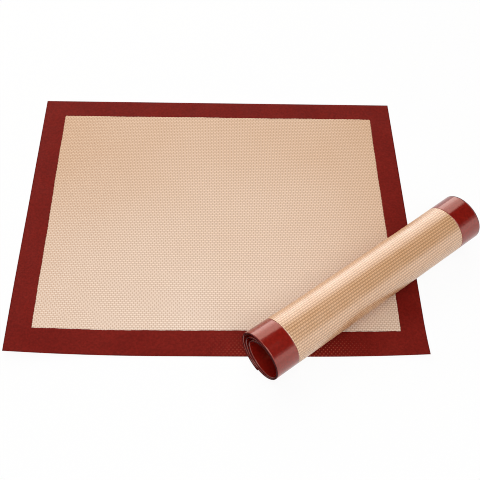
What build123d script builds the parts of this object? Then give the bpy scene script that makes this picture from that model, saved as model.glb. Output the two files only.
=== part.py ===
"""Two silicone baking mats of one range: a wide one lies flat, and a narrower one lies rolled up across it.

Each mat is a laminate about 0.8 mm thick. A woven glass-fibre cloth lies in the middle. A coat of tan
silicone covers each face, and a band of red silicone frames each face, let in flush with the tan. A thin
red seal runs round the cut edge. The rolled mat is the same laminate, wound from one short edge.

Millimetres. X runs along the flat mat's long side, Y away from the front and Z up. The origin is the middle
of the flat mat's underside.
"""

import math
import os

from build123d import *

# Cut sizes of the two mats.
FLAT_LENGTH = 420.0
FLAT_WIDTH = 356.0
ROLLED_LENGTH = 356.0
ROLLED_WIDTH = 280.0

# Widths of the red frame, along the short edges and along the long edges.
SHORT_EDGE_BORDER = 25.0
LONG_EDGE_BORDER = 27.0

# Thickness of each layer, and the width of the seal round the cut edge.
CLOTH_THICKNESS = 0.30
COAT_THICKNESS = 0.15
BORDER_THICKNESS = 0.08
SEAL_WIDTH = 0.6

# The roll: its bore, how far round its first turn is truly round, the air between turns where they lie
# tight, and how much further each turn stands off on the loose side. Angles are in degrees, anticlockwise
# from the right, seen from the near end. The inner free edge lies this far ahead of the loose side.
BORE_RADIUS = 20.2
ROUND_SWEEP = 278.0
TURN_AIR = 1.0
TURN_SLACK = 2.5
LOOSE_SIDE = 130.0
EDGE_LEAD = 30.0

# Where the roll lies: the middle of its near end, the way its axis points, and the air under it.
NEAR_END_X = 42.5
NEAR_END_Y = -197.5
ROLL_HEADING = 38.0
ROLL_REST_GAP = 0.3

# Every cutter runs this far past what it cuts.
OVERRUN = 0.1

# The gap between turns is measured on points this far apart.
GAUGE_STEP = 1.0

HALF_TURN = 180.0
FULL_TURN = 360.0
STRAIGHT_DOWN = 270.0

# Distances from the middle of the laminate to each layer's faces.
cloth_face = CLOTH_THICKNESS / 2
coat_face = cloth_face + COAT_THICKNESS
mat_face = coat_face + BORDER_THICKNESS
mat_thickness = 2 * mat_face


def flat_slab(length_inset, width_inset, low, high):
    """A layer of the flat mat between two depths, inset from its short and its long edges."""
    length = FLAT_LENGTH - 2 * length_inset
    width = FLAT_WIDTH - 2 * width_inset
    middle = mat_face + (low + high) / 2
    return Pos(0, 0, middle) * Box(length, width, high - low)


def direction(angle):
    """The unit vector at an angle across the roll."""
    angle = math.radians(angle)
    return Vector(math.cos(angle), math.sin(angle))


class Arc:
    """One stretch of the wound sheet's middle surface, turning anticlockwise as seen from the near end."""

    def __init__(self, centre, radius, start, sweep):
        self.centre = centre
        self.radius = radius
        self.start = start
        self.sweep = sweep

    @property
    def end(self):
        return self.start + self.sweep

    @property
    def length(self):
        return self.radius * math.radians(self.sweep)

    def part(self, begin, end):
        """The stretch of this arc between two distances along it."""
        start = self.start + math.degrees(begin / self.radius)
        return Arc(self.centre, self.radius, start, math.degrees((end - begin) / self.radius))

    def followed_by(self, radius, sweep):
        """The arc of another radius that carries on from this one's end, tangent to it."""
        centre = self.centre + direction(self.end) * (self.radius - radius)
        return Arc(centre, radius, self.end, sweep)

    def point(self, angle, depth):
        """The point at an angle, depth outside the middle surface."""
        return self.centre + direction(angle) * (self.radius + depth)

    def edge(self, depth):
        return CenterArc(self.centre, self.radius + depth, self.start, self.sweep)


def stretch(arcs, begin, end):
    """The parts of the arcs that lie between two distances along the sheet."""
    found, past = [], 0.0
    for arc in arcs:
        low, high = max(begin - past, 0), min(end - past, arc.length)
        if low < high:
            found.append(arc.part(low, high))
        past += arc.length
    return found


def wind_sheet():
    """The tangent arcs that the sheet follows, from its inner free edge outwards, as long as the mat.

    The first turn is round. The sheet then climbs over its own inner edge to the loose side, and from there
    goes back to lie tight on the far side and out again, by half turns.
    """
    innermost = BORE_RADIUS + mat_face
    pitch = mat_thickness + TURN_AIR
    first = Arc(Vector(0, 0), innermost, LOOSE_SIDE - EDGE_LEAD, ROUND_SWEEP)
    rest_of_turn = FULL_TURN - ROUND_SWEEP
    climb_radius = innermost + pitch / (1 - math.cos(math.radians(rest_of_turn)))
    climb = first.followed_by(climb_radius, rest_of_turn + EDGE_LEAD)
    arcs = [first, climb]
    # How far the sheet reaches on either side, from the centre of the climb.
    tight = innermost + climb.centre.dot(direction(LOOSE_SIDE))
    loose = climb_radius
    while sum(arc.length for arc in arcs) < ROLLED_LENGTH:
        tight += pitch
        arcs.append(arcs[-1].followed_by((loose + tight) / 2, HALF_TURN))
        loose += pitch + TURN_SLACK
        arcs.append(arcs[-1].followed_by((loose + tight) / 2, HALF_TURN))
    return stretch(arcs, 0, ROLLED_LENGTH)


def lowest_point(arcs):
    """How far below the bore's centre the sheet's outer face reaches."""
    found = []
    for arc in arcs:
        found += [arc.point(arc.start, mat_face).Y, arc.point(arc.end, mat_face).Y]
        if (STRAIGHT_DOWN - arc.start) % FULL_TURN <= arc.sweep:
            found.append(arc.point(STRAIGHT_DOWN, mat_face).Y)
    return min(found)


def least_gap(arcs):
    """The least air between two turns, measured on points along the sheet's middle surface."""
    points, past = [], 0.0
    for arc in arcs:
        steps = math.ceil(arc.length / GAUGE_STEP)
        for step in range(steps):
            share = step / steps
            points.append((past + arc.length * share, arc.point(arc.start + arc.sweep * share, 0)))
        past += arc.length
    half_round = math.pi * BORE_RADIUS
    return min(
        (one - other).length - mat_thickness
        for at, one in points
        for other_at, other in points
        if other_at - at > half_round
    )


WINDING = wind_sheet()
heading = math.radians(ROLL_HEADING)
along_roll = Vector(math.cos(heading), math.sin(heading), 0)
right_of_roll = Vector(math.sin(heading), -math.cos(heading), 0)
bore_height = mat_thickness + ROLL_REST_GAP - lowest_point(WINDING)
near_end = Vector(NEAR_END_X, NEAR_END_Y, bore_height)
bore_middle = near_end + along_roll * (ROLLED_WIDTH / 2)
ROLL_FRAME = Plane(origin=near_end + along_roll * ROLLED_WIDTH, x_dir=right_of_roll, z_dir=-along_roll)


def rolled_slab(length_inset, width_inset, low, high):
    """A layer of the rolled mat between two depths, inset from its short and its long edges."""
    arcs = stretch(WINDING, length_inset, ROLLED_LENGTH - length_inset)
    first, last = arcs[0], arcs[-1]
    outline = [arc.edge(depth) for arc in arcs for depth in (low, high)]
    outline.append(Line(first.point(first.start, low), first.point(first.start, high)))
    outline.append(Line(last.point(last.end, low), last.point(last.end, high)))
    profile = make_face(outline)
    layer = extrude(Pos(0, 0, width_inset) * profile, ROLLED_WIDTH - 2 * width_inset)
    return ROLL_FRAME.location * layer


def glass_cloth(slab):
    """The woven cloth in the middle, up to the seal."""
    return slab(SEAL_WIDTH, SEAL_WIDTH, -cloth_face, cloth_face)


def coat(slab, side):
    """The tan silicone on one face: a skin up to the seal, and a pad that fills the red frame's window."""
    skin = slab(SEAL_WIDTH, SEAL_WIDTH, *sorted((side * cloth_face, side * coat_face)))
    pad = slab(SHORT_EDGE_BORDER, LONG_EDGE_BORDER, *sorted((side * coat_face, side * mat_face)))
    return skin + pad


def border(slab, side):
    """The red silicone frame on one face, flush with the tan inside it."""
    low, high = sorted((side * coat_face, side * mat_face))
    window = slab(SHORT_EDGE_BORDER, LONG_EDGE_BORDER, low - OVERRUN, high + OVERRUN)
    return slab(SEAL_WIDTH, SEAL_WIDTH, low, high) - window


def edge_seal(slab):
    """The red silicone round the cut edge, as thick as the mat."""
    inside = slab(SEAL_WIDTH, SEAL_WIDTH, -mat_face - OVERRUN, mat_face + OVERRUN)
    return slab(0, 0, -mat_face, mat_face) - inside


def mat_pieces(slab, name, lower, upper):
    """The six layers of one mat, by node name. lower and upper say what its two faces are called."""
    return {
        f"{name}_glass_cloth": glass_cloth(slab),
        f"{name}_{lower}_coat": coat(slab, -1),
        f"{name}_{upper}_coat": coat(slab, 1),
        f"{name}_{lower}_border": border(slab, -1),
        f"{name}_{upper}_border": border(slab, 1),
        f"{name}_edge_seal": edge_seal(slab),
    }


# The rolled mat is wound with its textured upper face inwards.
pieces = mat_pieces(flat_slab, "flat", "bottom", "top")
pieces |= mat_pieces(rolled_slab, "rolled", "inner", "outer")

os.makedirs("parts", exist_ok=True)
for node, shape in pieces.items():
    export_step(shape, f"parts/{node}.step")

turns = sum(arc.sweep for arc in WINDING) / FULL_TURN
inner_edge, outer_edge = WINDING[0].start, WINDING[-1].end % FULL_TURN
print(f"{turns:.2f} turns, inner edge at {inner_edge:.0f} degrees, outer edge at {outer_edge:.0f} degrees")
print(f"least gap between turns {least_gap(WINDING):.2f} mm")
print(f"bore's middle {bore_middle.X:.2f}, {bore_middle.Y:.2f}, {bore_middle.Z:.2f} mm")
print(f"mat {mat_thickness:.2f} mm thick")
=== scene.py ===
"""Dresses the two baking mats: the weave in relief, wavy printed frames, rounded seals, and studio light.

Lengths are metres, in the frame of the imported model, unless a name says otherwise. Each mat is laid out on
one grid, two lines to a weave cell, and every layer of it is cut from that grid, so that the layers meet.
A place on a mat is u along its long side, v along its short side, and depth out from its middle surface.
"""

import math

import bpy
import numpy as np
from mathutils import Matrix, Vector


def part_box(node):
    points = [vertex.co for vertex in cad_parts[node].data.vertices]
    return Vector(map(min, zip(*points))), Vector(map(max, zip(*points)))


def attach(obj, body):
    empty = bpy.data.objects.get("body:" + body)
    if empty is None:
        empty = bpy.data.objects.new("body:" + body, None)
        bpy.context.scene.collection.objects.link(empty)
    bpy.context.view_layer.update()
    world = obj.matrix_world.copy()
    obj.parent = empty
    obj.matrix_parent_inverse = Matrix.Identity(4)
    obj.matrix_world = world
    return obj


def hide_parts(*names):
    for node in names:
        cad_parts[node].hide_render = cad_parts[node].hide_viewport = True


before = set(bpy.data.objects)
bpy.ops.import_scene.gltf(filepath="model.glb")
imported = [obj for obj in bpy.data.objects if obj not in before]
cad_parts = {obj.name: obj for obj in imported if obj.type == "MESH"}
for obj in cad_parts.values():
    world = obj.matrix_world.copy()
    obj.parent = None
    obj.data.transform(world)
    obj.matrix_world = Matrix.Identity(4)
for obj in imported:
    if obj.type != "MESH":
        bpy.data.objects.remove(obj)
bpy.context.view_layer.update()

MM = 0.001

# The laminate, as in the solids: its faces, as distances from its middle, and the widths of its seal and its
# red frame.
CLOTH_FACE = 0.15 * MM
MAT_FACE = 0.38 * MM
SEAL_WIDTH = 0.6 * MM
SHORT_EDGE_BORDER = 25 * MM
LONG_EDGE_BORDER = 27 * MM

# The roll, as in the solids. Angles are anticlockwise from the right, seen from the near end.
BORE_RADIUS = 20.2 * MM
ROUND_SWEEP = math.radians(278)
TURN_AIR = 1.0 * MM
TURN_SLACK = 2.5 * MM
LOOSE_SIDE = math.radians(130)
EDGE_LEAD = math.radians(30)
ROLLED_LENGTH = 356 * MM
ROLLED_WIDTH = 280 * MM
NEAR_END = Vector((42.5 * MM, -197.5 * MM, 27.12 * MM))
ROLL_HEADING = math.radians(38)

# The grid of both mats: its lines to a weave cell, and the cells across a red band.
LINES_PER_CELL = 2
BAND_CELLS = 12

# How high the weave stands between a brick and a gap.
MIDDLE_HEIGHT = 0.46

# The seal's rounded nose, from its lower face round to its upper one. Each point is a share of the seal's
# width in from the cut edge, and a share of the mat's half thickness out from the middle.
NOSE = ((1, -1), (0.45, -1), (0.12, -0.7), (0, 0), (0.12, 0.7), (0.45, 1), (1, 1))


def add(name, data):
    """A new object in the scene."""
    made = bpy.data.objects.new(name, data)
    bpy.context.scene.collection.objects.link(made)
    return made


# The camera, fitted to the straight edges of the flat mat.

IMAGE_SIDE_PX = 480
FOCAL_PX = 846.4
SENSOR_MM = 36.0
NEAREST_SEEN = 10 * MM
CAMERA_PLACE = Vector((-3.25 * MM, -594.05 * MM, 726.9 * MM))
CAMERA_AZIMUTH = math.radians(-2.80)
CAMERA_ELEVATION = math.radians(52.38)
CAMERA_ROLL = math.radians(2.71)


def make_camera():
    """Stands the camera in its place, by the directions of its right, its top and its back."""
    back = Vector((
        math.sin(CAMERA_AZIMUTH) * math.cos(CAMERA_ELEVATION),
        -math.cos(CAMERA_AZIMUTH) * math.cos(CAMERA_ELEVATION),
        math.sin(CAMERA_ELEVATION),
    ))
    right = Vector((math.cos(CAMERA_AZIMUTH), math.sin(CAMERA_AZIMUTH), 0))
    up = back.cross(right)
    cos, sin = math.cos(CAMERA_ROLL), math.sin(CAMERA_ROLL)
    right, up = right * cos + up * sin, up * cos - right * sin
    data = bpy.data.cameras.new("camera")
    data.sensor_width = SENSOR_MM
    data.lens = SENSOR_MM * FOCAL_PX / IMAGE_SIDE_PX
    data.clip_start = NEAREST_SEEN
    camera = add("camera", data)
    camera.matrix_world = Matrix.Translation(CAMERA_PLACE) @ Matrix((right, up, back)).transposed().to_4x4()
    bpy.context.scene.camera = camera


# Shares, waves and directions.

def smooth(share):
    """Eases a share from 0 to 1, flat at both ends."""
    share = np.clip(share, 0, 1)
    return share * share * (3 - 2 * share)


def fade(distance, reach, power=2):
    """1 at no distance, falling to 0 at the reach. A higher power falls faster at first."""
    return np.clip(1 - distance / reach, 0, 1) ** power


def bell(distance, reach):
    """1 at no distance, about a third at the reach on either side, and soon nothing."""
    return np.exp(-((distance / reach) ** 2))


def unit(angle):
    """The unit vector at an angle."""
    return np.array([math.cos(angle), math.sin(angle)])


def waves(place, ripples_mm, phase):
    """A sum of sine waves along a place. ripples_mm holds the length and the height of each."""
    return sum(
        height * MM * np.sin(2 * math.pi * place / (length * MM) + phase * (1 + number))
        for number, (length, height) in enumerate(ripples_mm)
    )


def crest(along, across, shares):
    """How high the weave stands at a place in cells, from near 0 in a gap to about 0.8 or 0.9 on a brick.

    The weave is like brickwork, with the bricks lying along its rows. The shares say how much of the height
    comes from the bricks, from the rows, and from the gaps in a row.
    """
    brick = np.cos(math.pi * along) * np.cos(math.pi * across)
    row, gap = np.cos(2 * math.pi * across), np.cos(2 * math.pi * along)
    return MIDDLE_HEIGHT + shares[0] * brick + shares[1] * row - shares[2] * gap


# The grid that a mat's layers are cut from.

class Grid:
    """The lines of one mat from seal to seal: red band, tan window, red band."""

    def __init__(self, length, width, cells):
        self.length, self.width = length, width
        cells_u, cells_v = cells
        self.u, self.cell_u = self.lines(length, SHORT_EDGE_BORDER, cells_u)
        self.v, self.cell_v = self.lines(width, LONG_EDGE_BORDER, cells_v)
        inside_u = (self.cell_u[:-1] >= 0) & (self.cell_u[1:] <= cells_u)
        inside_v = (self.cell_v[:-1] >= 0) & (self.cell_v[1:] <= cells_v)
        self.window = inside_u[:, None] & inside_v[None, :]
        self.band = ~self.window
        self.everywhere = np.ones_like(self.window)

    @staticmethod
    def lines(side, border, cells):
        """Where the lines lie along one side, and their places counted in cells from the window's edge."""
        in_band = LINES_PER_CELL * BAND_CELLS
        band = np.linspace(SEAL_WIDTH, border, in_band + 1)
        window = np.linspace(border, side - border, LINES_PER_CELL * cells + 1)
        found = np.concatenate([band[:-1], window, (side - band[::-1])[1:]])
        return found, (np.arange(len(found)) - in_band) / LINES_PER_CELL


def fine_faces(mask):
    """A face for each square of the grid inside the mask, as places on the grid."""
    i, j = np.nonzero(mask)
    return [((a, b), (a + 1, b), (a + 1, b + 1), (a, b + 1)) for a, b in zip(i.tolist(), j.tolist())]


def coarse_faces(mask, steps_u, steps_v):
    """Faces over blocks of so many squares, which keep every fine point along the mask's edge."""
    count_u, count_v = mask.shape
    blocks = mask[::steps_u, ::steps_v]

    def is_open(i, j):
        return not (0 <= i < blocks.shape[0] and 0 <= j < blocks.shape[1] and blocks[i, j])

    faces = []
    for i, j in np.argwhere(blocks):
        low_u, high_u = i * steps_u, min((i + 1) * steps_u, count_u)
        low_v, high_v = j * steps_v, min((j + 1) * steps_v, count_v)
        sides = (
            (is_open(i, j - 1), [(k, low_v) for k in range(low_u, high_u)]),
            (is_open(i + 1, j), [(high_u, k) for k in range(low_v, high_v)]),
            (is_open(i, j + 1), [(k, high_v) for k in range(high_u, low_u, -1)]),
            (is_open(i - 1, j), [(low_u, k) for k in range(high_v, low_v, -1)]),
        )
        faces.append([place for is_edge, run in sides for place in (run if is_edge else run[:1])])
    return faces


def edge_runs(mask):
    """The fine edges round a mask, each with the mask on its left."""
    padded = np.pad(mask, 1)
    sides = (
        (padded[1:-1, :-2], (0, 0), (1, 0)),
        (padded[2:, 1:-1], (1, 0), (1, 1)),
        (padded[1:-1, 2:], (1, 1), (0, 1)),
        (padded[:-2, 1:-1], (0, 1), (0, 0)),
    )
    return [
        (square + start, square + end)
        for neighbour, start, end in sides
        for square in np.argwhere(mask & ~neighbour)
    ]


def build(name, mat, u, v, depth, along, across, faces):
    """A mesh from places on a mat. Its points carry the weave, and the wear and painted shade, for the
    materials.
    """
    mesh = bpy.data.meshes.new(name)
    mesh.from_pydata(mat.place(u, v, depth), [], faces)
    kept = np.stack([along, across, mat.wear_and_shade(u, v)], 1)
    weave = mesh.attributes.new("weave", "FLOAT_VECTOR", "POINT")
    weave.data.foreach_set("vector", kept.astype(np.float32).ravel())
    mesh.shade_smooth()
    mesh.update()
    return add(name, mesh)


def make_layer(name, mat, mask, low, high, relief_low=None, relief_high=None):
    """One layer of a mat between two depths. A face with a relief gets the fine grid and the weave in it."""
    grid = mat.grid
    points = {}

    def point(side, place):
        """The number of a point on the low side, 0, or the high side, 1. A new point gets the next."""
        return points.setdefault((int(place[0]), int(place[1]), side), len(points))

    faces = []
    for side, relief in ((1, relief_high), (0, relief_low)):
        loops = coarse_faces(mask, *mat.steps) if relief is None else fine_faces(mask)
        for loop in loops:
            face = [point(side, place) for place in loop]
            faces.append(face if side else face[::-1])
    for a, b in edge_runs(mask):
        faces.append((point(0, a), point(0, b), point(1, b), point(1, a)))
    i, j, side = np.array(list(points)).T
    along, across = mat.rows(grid.cell_u[i], grid.cell_v[j])
    sunk = 1 - crest(along, across, mat.weave)
    depth = np.where(side == 1, high - sunk * (relief_high or 0), low + sunk * (relief_low or 0))
    return build(name, mat, grid.u[i], grid.v[j], depth, along, across, faces)


def make_rim(name, mat):
    """The seal round the cut edge, with a rounded nose."""
    grid = mat.grid
    last_u, last_v = len(grid.u) - 1, len(grid.v) - 1
    around = [(i, 0) for i in range(last_u)] + [(last_u, j) for j in range(last_v)]
    around += [(i, last_v) for i in range(last_u, 0, -1)] + [(0, j) for j in range(last_v, 0, -1)]
    i, j = np.array(around).T
    count = len(around)
    u, v, depth, faces = [], [], [], []
    for ring, (inward, out) in enumerate(NOSE):
        inset = inward * SEAL_WIDTH
        u.append(np.where(i == 0, inset, np.where(i == last_u, grid.length - inset, grid.u[i])))
        v.append(np.where(j == 0, inset, np.where(j == last_v, grid.width - inset, grid.v[j])))
        depth.append(np.full(count, out * MAT_FACE))
        here, there = ring * count, (ring + 1) % len(NOSE) * count
        for k in range(count):
            after = (k + 1) % count
            faces.append((here + k, here + after, there + after, there + k))
    along, across = mat.rows(np.tile(grid.cell_u[i], len(NOSE)), np.tile(grid.cell_v[j], len(NOSE)))
    u, v, depth = np.concatenate(u), np.concatenate(v), np.concatenate(depth)
    return build(name, mat, u, v, depth, along, across, faces)


# The two mats.

class FlatMat:
    """The mat that lies flat, with its front corners a little lifted and its red frame printed unevenly."""

    prefix = "flat"
    body = "flat_mat"
    sides = ("bottom", "top")
    lower_is_seen = False

    # Weave cells in the tan window, and the blocks of squares that its hidden faces have, along u and v.
    cells = (190, 125)
    steps = (8, 8)
    # The shares of the weave, and how deep it goes in the tan and in the red.
    weave = (0.36, 0.26, 0.18)
    relief = (0.1 * MM, 0.04 * MM)

    # How high the front corners lift, and how far in that reaches, along u and v.
    lift_left, lift_left_reach = 7.5 * MM, (150 * MM, 180 * MM)
    lift_right, lift_right_reach = 4.5 * MM, (110 * MM, 45 * MM)
    lift_left_power_v = 1.5
    # How far the front edge bulges forward, and how far the front left corner is drawn in.
    front_bulge = 1.0 * MM
    drawn_in, drawn_in_reach = 2.4 * MM, (260 * MM, 180 * MM)
    floor_gap = 0.05 * MM

    # How far back the frame's long inner edges are printed, and the waves in all four of them.
    print_shift = 1.3 * MM
    front_ripples_mm, front_phase = ((210, 0.2), (83, 0.15), (31, 0.12), (11.3, 0.1)), 1.7
    back_ripples_mm, back_phase = ((160, 0.15), (61, 0.12), (19, 0.1), (8.7, 0.08)), 0.6
    left_ripples_mm, left_phase = ((190, 0.25), (47, 0.12), (12.3, 0.07)), 2.9
    right_ripples_mm, right_phase = ((230, 0.2), (53, 0.12), (14.1, 0.07)), 4.1

    # Where the red is rubbed thin, how far that reaches along u and v, and how thin it gets.
    rubbed_u, rubbed_v = 283 * MM, 6 * MM
    rubbed_reach_u, rubbed_reach_v = 47 * MM, 15 * MM
    rubbed_most = 0.85
    # How much darker and browner the tan is painted at the back, and at the left and right: painted shade.
    browner_back, browner_sides = 0.6, 0.25

    def __init__(self):
        self.low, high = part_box("flat_edge_seal")
        self.grid = Grid(high.x - self.low.x, high.y - self.low.y, self.cells)

    def rows(self, cell_u, cell_v):
        """The rows of the weave run along the mat's long side."""
        return cell_u, cell_v

    def misprint(self, u, v):
        """How far the printed frame lies from its true place, fading to the cut edge and the middle."""
        def near_line(from_edge, border):
            return fade(abs(from_edge - border), border, power=1)

        front = self.print_shift + waves(u, self.front_ripples_mm, self.front_phase)
        back = self.print_shift + waves(u, self.back_ripples_mm, self.back_phase)
        left = waves(v, self.left_ripples_mm, self.left_phase)
        right = waves(v, self.right_ripples_mm, self.right_phase)
        from_right, from_back = self.grid.length - u, self.grid.width - v
        du = left * near_line(u, SHORT_EDGE_BORDER) + right * near_line(from_right, SHORT_EDGE_BORDER)
        dv = front * near_line(v, LONG_EDGE_BORDER) + back * near_line(from_back, LONG_EDGE_BORDER)
        return du, dv

    def lift(self, u, v):
        """How far the front corners stand off the floor."""
        reach_u, reach_v = self.lift_left_reach
        left = self.lift_left * fade(u, reach_u) * fade(v, reach_v, self.lift_left_power_v)
        reach_u, reach_v = self.lift_right_reach
        right = fade(self.grid.length - u, reach_u) * fade(v, reach_v)
        return left + self.lift_right * right

    def wear_and_shade(self, u, v):
        """How far the red is rubbed thin over the yarns, and how much painted shade darkens the tan."""
        in_frame = (v < LONG_EDGE_BORDER) | (v > self.grid.width - LONG_EDGE_BORDER)
        in_frame |= (u < SHORT_EDGE_BORDER) | (u > self.grid.length - SHORT_EDGE_BORDER)
        rubbed = bell(u - self.rubbed_u, self.rubbed_reach_u) * bell(v - self.rubbed_v, self.rubbed_reach_v)
        # Darker and browner towards the back and the sides of the window: painted shade.
        to_side = abs(2 * u / self.grid.length - 1)
        browned_and_shaded = self.browner_back * smooth(v / self.grid.width) + self.browner_sides * to_side ** 2
        return np.where(in_frame, self.rubbed_most * rubbed, browned_and_shaded)

    def place(self, u, v, depth):
        """Where places on the mat lie in the scene."""
        du, dv = self.misprint(u, v)
        to_side = 2 * u / self.grid.length - 1
        bulge = self.front_bulge * (1 - to_side ** 2) * fade(v, LONG_EDGE_BORDER, power=1)
        reach_u, reach_v = self.drawn_in_reach
        x = self.low.x + u + du + self.drawn_in * fade(u, reach_u) * fade(v, reach_v)
        y = self.low.y + v + dv - bulge
        z = self.low.z + self.floor_gap + MAT_FACE + depth + self.lift(u, v)
        return np.stack([x, y, z], 1)


class RolledMat:
    """The mat that is rolled up: tangent arcs, as in the solids, with its ends a little sprung open."""

    prefix = "rolled"
    body = "rolled_mat"
    sides = ("inner", "outer")
    lower_is_seen = True

    # As for the flat mat. The roll bends along u, so its blocks are narrow that way.
    cells = (108, 140)
    steps = (2, 8)
    weave = (0.2, 0.28, 0.16)
    relief = (0.03 * MM, 0.004 * MM)

    # How far the outer turns spring open at the near end and at the far end, and how far in that reaches.
    near_flare, far_flare = 1.6 * MM, 0.8 * MM
    flare_reach = 45 * MM
    # How far the outer turns slip towards the near end, and the sway of the turns on the way there.
    telescope = 0.7 * MM
    sway_share, sways_per_radian = 0.5, 2.1

    def __init__(self):
        self.grid = Grid(ROLLED_LENGTH, ROLLED_WIDTH, self.cells)
        self.along = Vector((math.cos(ROLL_HEADING), math.sin(ROLL_HEADING), 0))
        self.right = Vector((math.sin(ROLL_HEADING), -math.cos(ROLL_HEADING), 0))
        self.centres, self.radii, self.starts, self.lengths = self.wind()

    @staticmethod
    def wind():
        """The centres, radii, first angles and lengths of the arcs, from the inner free edge outwards."""
        innermost = BORE_RADIUS + MAT_FACE
        pitch = 2 * MAT_FACE + TURN_AIR
        inner_edge = LOOSE_SIDE - EDGE_LEAD
        rest_of_turn = 2 * math.pi - ROUND_SWEEP
        climb = innermost + pitch / (1 - math.cos(rest_of_turn))
        turns = [(innermost, ROUND_SWEEP), (climb, rest_of_turn + EDGE_LEAD)]
        # How far the sheet reaches on either side, from the centre of the climb.
        climb_centre = (innermost - climb) * unit(inner_edge + ROUND_SWEEP)
        tight, loose = innermost + climb_centre @ unit(LOOSE_SIDE), climb
        while sum(radius * sweep for radius, sweep in turns) < ROLLED_LENGTH:
            tight += pitch
            turns.append(((loose + tight) / 2, math.pi))
            loose += pitch + TURN_SLACK
            turns.append(((loose + tight) / 2, math.pi))
        arcs = []
        centre, angle, last_radius = np.zeros(2), inner_edge, innermost
        for radius, sweep in turns:
            centre = centre + (last_radius - radius) * unit(angle)
            arcs.append((centre, radius, angle, radius * sweep))
            angle, last_radius = angle + sweep, radius
        return [np.array(column) for column in zip(*arcs)]

    def rows(self, cell_u, cell_v):
        """The rows of the weave run along the roll."""
        return cell_v, cell_u

    def wear_and_shade(self, u, v):
        """The rolled mat has no wear and no painted shade."""
        return np.zeros_like(u)

    def place(self, u, v, depth):
        """Where places on the mat lie in the scene."""
        ends = np.cumsum(self.lengths)
        which = np.clip(np.searchsorted(ends, u), 0, len(ends) - 1)
        centre, radius = self.centres[which], self.radii[which]
        angle = self.starts[which] + (u - (ends - self.lengths)[which]) / radius
        outer = smooth(u / self.grid.length)
        on_loose_side = ((1 + np.cos(angle - LOOSE_SIDE)) / 2) ** 2
        from_near = self.grid.width - v
        flare = self.near_flare * bell(from_near, self.flare_reach)
        flare = flare + self.far_flare * bell(v, self.flare_reach)
        reach = radius + depth + flare * outer * on_loose_side
        across = centre[:, 0] + reach * np.cos(angle)
        height = centre[:, 1] + reach * np.sin(angle)
        slip = self.telescope * (self.sway_share * np.sin(self.sways_per_radian * angle) - outer)
        found = np.array(NEAR_END) + np.outer(from_near + slip, self.along) + np.outer(across, self.right)
        found[:, 2] += height
        return found


# Materials. Colours are red, green and blue from 0 to 255, and noise is its scale per metre and its detail.

WHITE = (255, 255, 255)
SATIN_IOR = 1.45
GLOSSY_RED_IOR = 1.6
GLOSSY_TAN_IOR = 1.8

BROWNING_NOISE = (9.0, 3.0)
BROWNING_BLOTCHES = 0.12
GRAIN_NOISE = (900.0, 1.0)
GRAIN_SPREAD = 0.05
TAN_GLOSS_NOISE = (60.0, 2.0)
TAN_GLOSS_SPREAD = 0.05
TAN_SKIN_NOISE = (1600.0, 1.0)
TAN_WEAVE_HEIGHT = 0.7

RED_BLOTCH_NOISE = (22.0, 4.0)
SPECKLE_NOISE = (420.0, 1.0)
SPECKLE_SPREAD = 0.14
RED_GLOSS_NOISE = (45.0, 3.0)
RED_GLOSS_SPREAD = 0.15
RED_SKIN_NOISE = (700.0, 1.0)
RED_BUMP_DEPTH = 0.03 * MM

YARN_NOISE = (400.0, 2.0)
YARN_ROUGHNESS = (0.45, 0.6)
YARN_BUMP_DEPTH = 0.1 * MM

# Which part of a value's range is stretched to the whole: for most noise, for fine noise, for the weave's
# height, and for its bricks where the red is rubbed thin.
NOISE_PART = (0.3, 0.7)
GRAIN_PART = (0.25, 0.75)
CREST_PART = (0.0, 0.9)
RUBBED_PART = (0.45, 0.95)

# Where a mix node has its two colours and its result.
MIX_FIRST, MIX_SECOND, MIX_RESULT = 6, 7, 2


def linear(red, green, blue):
    """A colour from 0 to 255 as linear light."""
    def channel(value):
        value /= 255
        return value / 12.92 if value <= 0.04045 else ((value + 0.055) / 1.055) ** 2.4
    return (channel(red), channel(green), channel(blue), 1)


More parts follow.
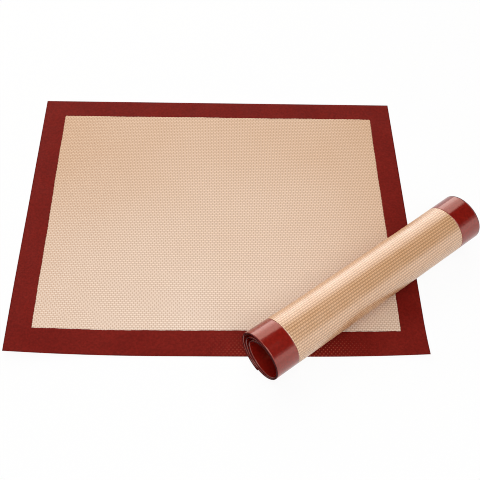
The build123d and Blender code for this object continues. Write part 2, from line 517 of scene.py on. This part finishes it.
class Shader:
    """A node material, with short calls for the nodes that the mats need."""

    def __init__(self, name):
        self.material = bpy.data.materials.new(name)
        self.material.use_nodes = True
        self.tree = self.material.node_tree
        self.surface = self.tree.nodes["Principled BSDF"]

    def node(self, kind, **settings):
        made = self.tree.nodes.new(kind)
        for name, value in settings.items():
            setattr(made, name, value)
        return made

    def feed(self, socket, value):
        """Gives a socket a constant, or links it to another node's output."""
        if isinstance(value, bpy.types.NodeSocket):
            self.tree.links.new(value, socket)
        else:
            socket.default_value = value

    def set_surface(self, inputs):
        for name, value in inputs.items():
            self.feed(self.surface.inputs[name], value)

    def maths(self, operation, *values):
        made = self.node("ShaderNodeMath", operation=operation)
        for socket, value in zip(made.inputs, values):
            self.feed(socket, value)
        return made.outputs[0]

    def cosine(self, cells, angle_per_cell):
        return self.maths("COSINE", self.maths("MULTIPLY", cells, angle_per_cell))

    def mix(self, share, one, other, blend="MIX"):
        made = self.node("ShaderNodeMix", data_type="RGBA", blend_type=blend)
        self.feed(made.inputs["Factor"], share)
        self.feed(made.inputs[MIX_FIRST], one)
        self.feed(made.inputs[MIX_SECOND], other)
        return made.outputs[MIX_RESULT]

    def scale(self, colour, factor):
        made = self.node("ShaderNodeVectorMath", operation="SCALE")
        self.feed(made.inputs[0], colour)
        self.feed(made.inputs["Scale"], factor)
        return made.outputs[0]

    def stretch(self, value, part, low=0.0, high=1.0):
        """Maps a part of a value's range to the range from low to high."""
        made = self.node("ShaderNodeMapRange")
        for socket, given in zip(made.inputs, (value, *part, low, high)):
            self.feed(socket, given)
        return made.outputs[0]

    def noise(self, scale, detail):
        made = self.node("ShaderNodeTexNoise")
        self.feed(made.inputs["Vector"], self.node("ShaderNodeTexCoord").outputs["Object"])
        self.feed(made.inputs["Scale"], scale)
        self.feed(made.inputs["Detail"], detail)
        return made.outputs["Fac"]

    def weave(self, shares):
        """The crest of the weave, its bricks alone, and the wear with the painted shade, as the meshes carry
        them.
        """
        stored = self.node("ShaderNodeAttribute", attribute_name="weave")
        split = self.node("ShaderNodeSeparateXYZ")
        self.feed(split.inputs[0], stored.outputs["Vector"])
        along, across, wear_and_shade = split.outputs
        brick = self.maths("MULTIPLY", self.cosine(along, math.pi), self.cosine(across, math.pi))
        height = self.maths("MULTIPLY_ADD", brick, shares[0], MIDDLE_HEIGHT)
        height = self.maths("MULTIPLY_ADD", self.cosine(across, 2 * math.pi), shares[1], height)
        height = self.maths("MULTIPLY_ADD", self.cosine(along, 2 * math.pi), -shares[2], height)
        return height, brick, wear_and_shade

    def bump(self, height, depth):
        made = self.node("ShaderNodeBump")
        self.feed(made.inputs["Height"], height)
        self.feed(made.inputs["Distance"], depth)
        self.set_surface({"Normal": made.outputs[0]})


def tan_silicone(name, weave, between, on_top, browned_and_shaded, roughness, ior, gloss, bump_depth):
    """Tan silicone over the cloth. It is darker between the yarns than on top of them, and random blotches
    and the painted shade that the meshes carry brown and darken it.
    """
    shader = Shader(name)
    height, _, wear_and_shade = shader.weave(weave)
    colour = shader.mix(shader.stretch(height, CREST_PART), linear(*between), linear(*on_top))
    blotches = shader.stretch(shader.noise(*BROWNING_NOISE), NOISE_PART)
    # Random blotches of browning, plus the painted shade that the mesh carries.
    browning_and_shade = shader.maths("MULTIPLY_ADD", blotches, BROWNING_BLOTCHES, wear_and_shade)
    colour = shader.mix(browning_and_shade, colour, linear(*browned_and_shaded), "MULTIPLY")
    grain = shader.stretch(shader.noise(*GRAIN_NOISE), GRAIN_PART, 1 - GRAIN_SPREAD, 1 + GRAIN_SPREAD)
    smoothest, roughest = roughness - TAN_GLOSS_SPREAD, roughness + TAN_GLOSS_SPREAD
    shader.set_surface({
        "Base Color": shader.scale(colour, grain),
        "Roughness": shader.stretch(shader.noise(*TAN_GLOSS_NOISE), NOISE_PART, smoothest, roughest),
        "IOR": ior,
        "Specular IOR Level": gloss,
    })
    skin = shader.noise(*TAN_SKIN_NOISE)
    shader.bump(shader.maths("ADD", shader.maths("MULTIPLY", height, TAN_WEAVE_HEIGHT), skin), bump_depth)
    return shader.material


def red_silicone(name, weave, deep, bright, roughness, ior, gloss, weave_height, tint=WHITE, dots=None):
    """Red silicone, mottled and speckled. Where it is rubbed thin, the tops of the yarns show as dots."""
    shader = Shader(name)
    height, brick, wear_and_shade = shader.weave(weave)
    blotches = shader.stretch(shader.noise(*RED_BLOTCH_NOISE), NOISE_PART)
    darkest, brightest = 1 - SPECKLE_SPREAD, 1 + SPECKLE_SPREAD
    speckle = shader.stretch(shader.noise(*SPECKLE_NOISE), NOISE_PART, darkest, brightest)
    colour = shader.scale(shader.mix(blotches, linear(*deep), linear(*bright)), speckle)
    if dots:
        rubbed = shader.maths("MULTIPLY", shader.stretch(brick, RUBBED_PART), wear_and_shade)
        colour = shader.mix(rubbed, colour, linear(*dots))
    smoothest, roughest = roughness * (1 - RED_GLOSS_SPREAD), roughness * (1 + RED_GLOSS_SPREAD)
    shader.set_surface({
        "Base Color": colour,
        "Roughness": shader.stretch(shader.noise(*RED_GLOSS_NOISE), NOISE_PART, smoothest, roughest),
        "IOR": ior,
        "Specular IOR Level": gloss,
        "Specular Tint": linear(*tint),
    })
    skin = shader.noise(*RED_SKIN_NOISE)
    shader.bump(shader.maths("ADD", shader.maths("MULTIPLY", height, weave_height), skin), RED_BUMP_DEPTH)
    return shader.material


def glass_cloth(name, weave, between, on_top):
    """The bare cloth, which its skins hide."""
    shader = Shader(name)
    height, _, _ = shader.weave(weave)
    shader.set_surface({
        "Base Color": shader.mix(height, linear(*between), linear(*on_top)),
        "Roughness": shader.stretch(shader.noise(*YARN_NOISE), NOISE_PART, *YARN_ROUGHNESS),
    })
    shader.bump(height, YARN_BUMP_DEPTH)
    return shader.material


# The pieces.

def declare(piece, mat, material, node):
    """Gives a piece its material, hangs it on its mat's body, and hides the node of the frame that it stands
    for.
    """
    piece.data.materials.append(material)
    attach(piece, mat.body)
    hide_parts(f"{mat.prefix}_{node}")
    return piece


def dress(mat, tan, red, rim, cloth):
    """Makes one mat's six layers, and returns its cloth and the five skins on it.

    The red frames reach down to the cloth. In the solids a skin of tan lies under them, out of sight.
    """
    lower, upper = mat.sides
    kinds = (
        ("tan", "coat", "tan_silicone", tan, mat.grid.window, mat.relief[0]),
        ("red_frame", "border", "red_silicone", red, mat.grid.band, mat.relief[1]),
    )
    skins = []
    for kind, node, slot, material, mask, relief in kinds:
        low_relief = relief if mat.lower_is_seen else None
        name = f"{mat.prefix}_{kind}_{lower}"
        piece = make_layer(name, mat, mask, -MAT_FACE, -CLOTH_FACE, relief_low=low_relief)
        skins.append(declare(piece, mat, material, f"{lower}_{node}"))
        name = f"{mat.prefix}_{kind}_{upper}"
        piece = make_layer(name, mat, mask, CLOTH_FACE, MAT_FACE, relief_high=relief)
        skins.append(declare(piece, mat, material, f"{upper}_{node}"))
    piece = make_rim(f"{mat.prefix}_red_rim", mat)
    skins.append(declare(piece, mat, rim, "edge_seal"))
    core = make_layer(f"{mat.prefix}_cloth_core", mat, mat.grid.everywhere, -CLOTH_FACE, CLOTH_FACE)
    return declare(core, mat, cloth, "glass_cloth"), skins


# The studio.

FLOOR_RADIUS = 5.0
COVE_RADIUS = 3.0
COVE_SWEEP = math.radians(90)
COVE_STEPS = 12
FLOOR_SEGMENTS = 64
FLOOR_DROP = 0.2 * MM
FLOOR_REFLECTANCE = 0.95
FLOOR_ROUGHNESS = 0.8
SHADOW_SHARE = 0.08
WORLD_STRENGTH = 0.03
FILTER_WIDTH_PX = 1.0

# The colours of lamps, as linear light.
WHITE_LIGHT = (1.0, 1.0, 1.0)
WARM_LIGHT = (1.0, 0.94, 0.89)
COOL_LIGHT = (0.82, 0.93, 1.0)


def floor_mesh():
    """A round floor that curves up into a low wall all round."""
    profile = []
    for step in range(COVE_STEPS + 1):
        angle = COVE_SWEEP * step / COVE_STEPS
        profile.append((FLOOR_RADIUS + COVE_RADIUS * math.sin(angle), COVE_RADIUS * (1 - math.cos(angle))))
    points, faces = [(0, 0, -FLOOR_DROP)], []
    for reach, height in profile:
        for segment in range(FLOOR_SEGMENTS):
            turn = 2 * math.pi * segment / FLOOR_SEGMENTS
            points.append((reach * math.cos(turn), reach * math.sin(turn), height - FLOOR_DROP))
    for segment in range(FLOOR_SEGMENTS):
        after = (segment + 1) % FLOOR_SEGMENTS
        faces.append((0, 1 + segment, 1 + after))
        for ring in range(COVE_STEPS):
            low, high = 1 + ring * FLOOR_SEGMENTS, 1 + (ring + 1) * FLOOR_SEGMENTS
            faces.append((low + segment, high + segment, high + after, low + after))
    mesh = bpy.data.meshes.new("floor")
    mesh.from_pydata(points, [], faces)
    mesh.shade_smooth()
    return mesh


def floor_white():
    """White to the camera and in reflections, but for a share of its lit colour, which shows the shadow."""
    shader = Shader("floor_white")
    shader.set_surface({
        "Base Color": (FLOOR_REFLECTANCE, FLOOR_REFLECTANCE, FLOOR_REFLECTANCE, 1),
        "Roughness": FLOOR_ROUGHNESS,
        "Specular IOR Level": 0,
    })
    glow = shader.node("ShaderNodeEmission")
    shader.feed(glow.inputs["Color"], linear(*WHITE))
    shader.feed(glow.inputs["Strength"], 1.0)
    path = shader.node("ShaderNodeLightPath")
    seen = shader.maths("MAXIMUM", path.outputs["Is Camera Ray"], path.outputs["Is Glossy Ray"])
    seen = shader.maths("MAXIMUM", seen, path.outputs["Is Transmission Ray"])
    blend = shader.node("ShaderNodeMixShader")
    shader.feed(blend.inputs[0], shader.maths("MULTIPLY", seen, 1 - SHADOW_SHARE))
    shader.feed(blend.inputs[1], shader.surface.outputs[0])
    shader.feed(blend.inputs[2], glow.outputs[0])
    shader.feed(shader.tree.nodes["Material Output"].inputs["Surface"], blend.outputs[0])
    return shader.material


def make_floor():
    mesh = floor_mesh()
    mesh.materials.append(floor_white())
    add("floor", mesh)


def make_lamp(name, heading, elevation, distance, size, radiance, colour=WHITE_LIGHT):
    """A soft box that faces the mats. The heading is 0 behind them, 90 to their right and 180 in front."""
    heading, elevation = math.radians(heading), math.radians(elevation)
    level = distance * math.cos(elevation)
    place = Vector((level * math.sin(heading), level * math.cos(heading), distance * math.sin(elevation)))
    data = bpy.data.lights.new(name, "AREA")
    data.shape = "RECTANGLE"
    data.size, data.size_y = size
    data.energy = radiance * math.pi * size[0] * size[1]
    data.color = colour
    lamp = add(name, data)
    lamp.location = place
    lamp.rotation_euler = (-place).to_track_quat("-Z", "Y").to_euler()


def make_world():
    world = bpy.data.worlds.new("world")
    world.use_nodes = True
    back = world.node_tree.nodes["Background"]
    back.inputs["Color"].default_value = linear(*WHITE)
    back.inputs["Strength"].default_value = WORLD_STRENGTH
    bpy.context.scene.world = world


make_camera()

flat, rolled = FlatMat(), RolledMat()
cloth = glass_cloth("glass_cloth_weave", FlatMat.weave, between=(196, 178, 150), on_top=(238, 228, 206))
flat_tan = tan_silicone(
    "tan_satin", FlatMat.weave, between=(212, 181, 158), on_top=(248, 229, 212), browned_and_shaded=(229, 206, 178),
    roughness=0.5, ior=SATIN_IOR, gloss=0.3, bump_depth=0.03 * MM,
)
# The rolled mat's tan is the same silicone as the flat one, painted darker and more orange: painted shade.
roll_tan_shaded = tan_silicone(
    "tan_glossy_shaded", RolledMat.weave, between=(171, 112, 61), on_top=(240, 195, 149), browned_and_shaded=(242, 230, 214),
    roughness=0.36, ior=GLOSSY_TAN_IOR, gloss=1.0, bump_depth=0.004 * MM,
)
flat_red = red_silicone(
    "red_satin", FlatMat.weave, deep=(112, 24, 18), bright=(121, 30, 23),
    roughness=0.55, ior=SATIN_IOR, gloss=0.05, weave_height=0.6, dots=(214, 120, 92),
)
roll_red = red_silicone(
    "red_glossy", RolledMat.weave, deep=(128, 20, 12), bright=(142, 28, 18),
    roughness=0.16, ior=GLOSSY_RED_IOR, gloss=1.0, weave_height=0.05, tint=(255, 212, 198),
)
# The rolled mat's seal is its red silicone painted much darker: painted shade.
roll_rim_shaded = red_silicone(
    "red_rim", RolledMat.weave, deep=(70, 18, 20), bright=(84, 24, 26),
    roughness=0.6, ior=SATIN_IOR, gloss=0.1, weave_height=0.0,
)

flat_core, flat_skins = dress(flat, flat_tan, flat_red, flat_red, cloth)
roll_core, roll_skins = dress(rolled, roll_tan_shaded, roll_red, roll_rim_shaded, cloth)

make_floor()
make_world()
make_lamp(
    "low_back_box", heading=-10, elevation=13, distance=1.6, size=(1.8, 0.96), radiance=2.1,
    colour=WARM_LIGHT,
)
make_lamp(
    "high_back_box", heading=-10, elevation=44, distance=1.6, size=(1.8, 0.85), radiance=1.95,
    colour=WARM_LIGHT,
)
make_lamp("left_box", heading=-60, elevation=66, distance=1.7, size=(1.1, 1.1), radiance=1.6)
make_lamp(
    "right_box", heading=112, elevation=14, distance=1.6, size=(1.8, 0.8), radiance=0.3,
    colour=COOL_LIGHT,
)
make_lamp("front_right_box", heading=148, elevation=36, distance=1.7, size=(0.8, 0.9), radiance=1.9)
make_lamp("front_box", heading=178, elevation=60, distance=1.7, size=(1.7, 1.2), radiance=2.7)
bpy.context.scene.view_settings.view_transform = "Standard"
bpy.context.scene.cycles.filter_width = FILTER_WIDTH_PX
